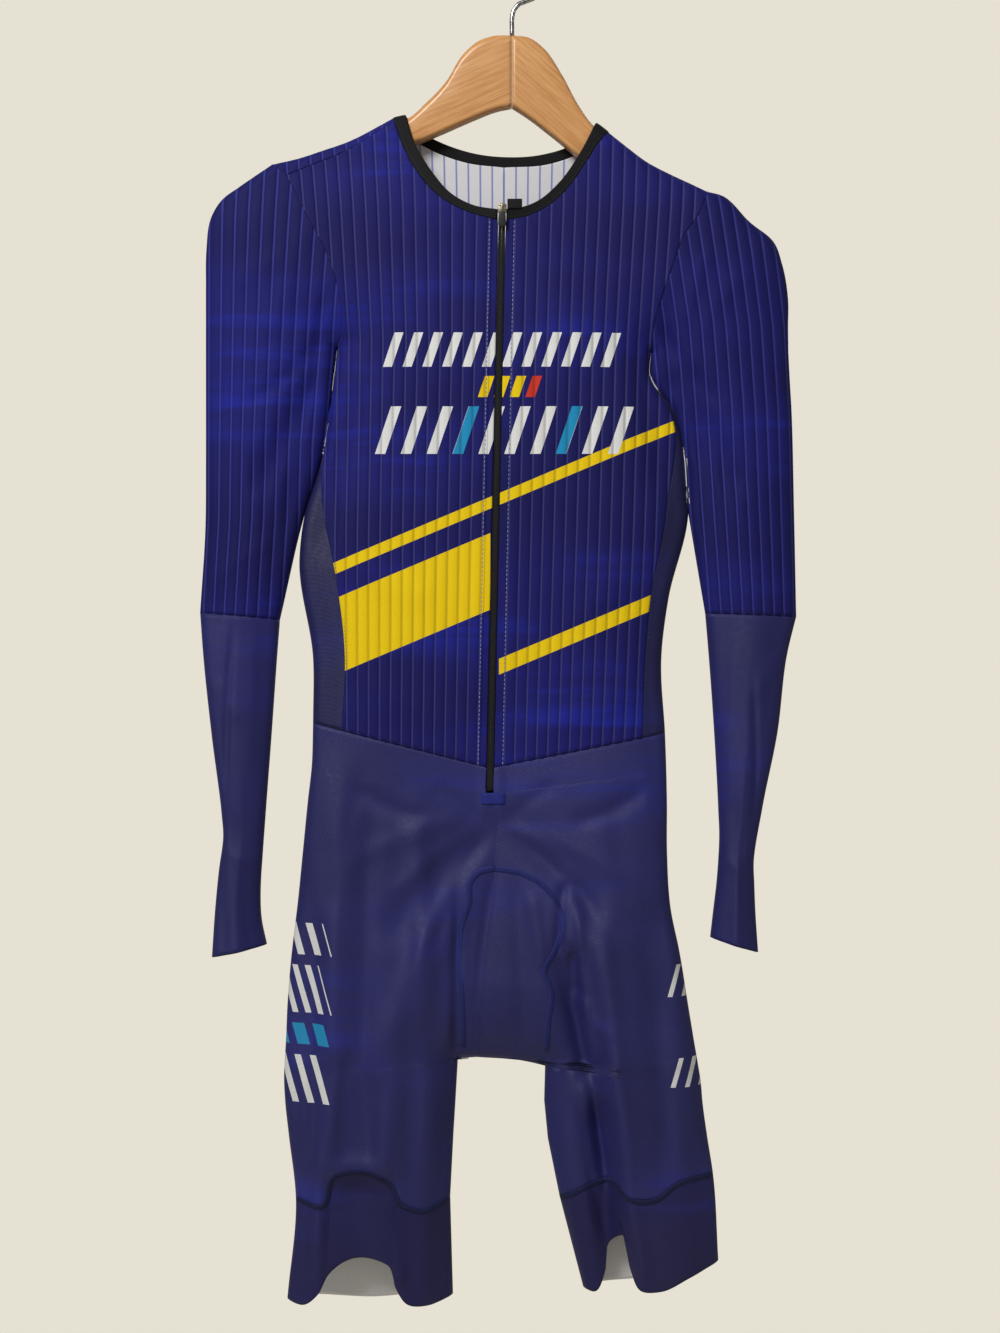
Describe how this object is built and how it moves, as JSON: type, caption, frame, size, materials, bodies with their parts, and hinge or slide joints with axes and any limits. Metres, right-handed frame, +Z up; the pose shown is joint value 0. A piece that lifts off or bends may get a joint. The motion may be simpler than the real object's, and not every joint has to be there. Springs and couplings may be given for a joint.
{
  "type": "cycling skinsuit on a wooden hanger",
  "caption": "Long-sleeved, short-legged cycling skinsuit with a front zip, hung nearly flat on a wooden hanger with a steel hook.",
  "frame": {"origin": "inner top of the hanger's hook, where it hangs on a rail or nail", "axes": "+Z up, the front of the garment faces -Y, +X is the wearer's left"},
  "size_m": [0.4564, 0.0508, 1.0408],
  "materials": {
    "ribbed_cloth": "navy ribbed knit with lighter blue grooves",
    "smooth_cloth": "navy stretch knit with a fine diagonal weave and a light sheen",
    "binding": "black elastic binding, matt",
    "zip_tape": "black zip tape and nylon coil",
    "zip_metal": "champagne coloured cast metal",
    "rubber": "soft black rubber",
    "pad": "soft foam backed knit",
    "patch": "stitched blue patch",
    "wood": "honey coloured laminated wood, satin lacquer",
    "steel": "bright plated steel wire"
  },
  "bodies": {
    "garment": {"front_panel_right": "ribbed_cloth", "front_panel_left": "ribbed_cloth", "back_panel": "ribbed_cloth", "sleeve_upper_right": "ribbed_cloth", "sleeve_upper_left": "ribbed_cloth", "side_panel_right": "smooth_cloth", "side_panel_left": "smooth_cloth", "sleeve_lower_right": "smooth_cloth", "sleeve_lower_left": "smooth_cloth", "shorts_right": "smooth_cloth", "shorts_left": "smooth_cloth", "leg_band_right": "smooth_cloth", "leg_band_left": "smooth_cloth", "chamois_pad": "pad", "neck_binding": "binding", "zip_strip": "zip_tape", "zip_slider": "zip_metal", "zip_garage": "binding", "zip_end_patch": "patch", "hanger_arm_right": "wood", "hanger_arm_left": "wood", "hanger_hook": "steel"},
    "pull_tab": {"zip_pull_tab": "rubber"}
  },
  "joints": [
    {"name": "pull_tab_hinge", "type": "hinge", "parent": "garment", "child": "pull_tab", "pos_m": [-0.00755, -0.01819, -0.2053], "axis": [1, 0, 0], "range_deg": [-150, 0]}
  ]
}
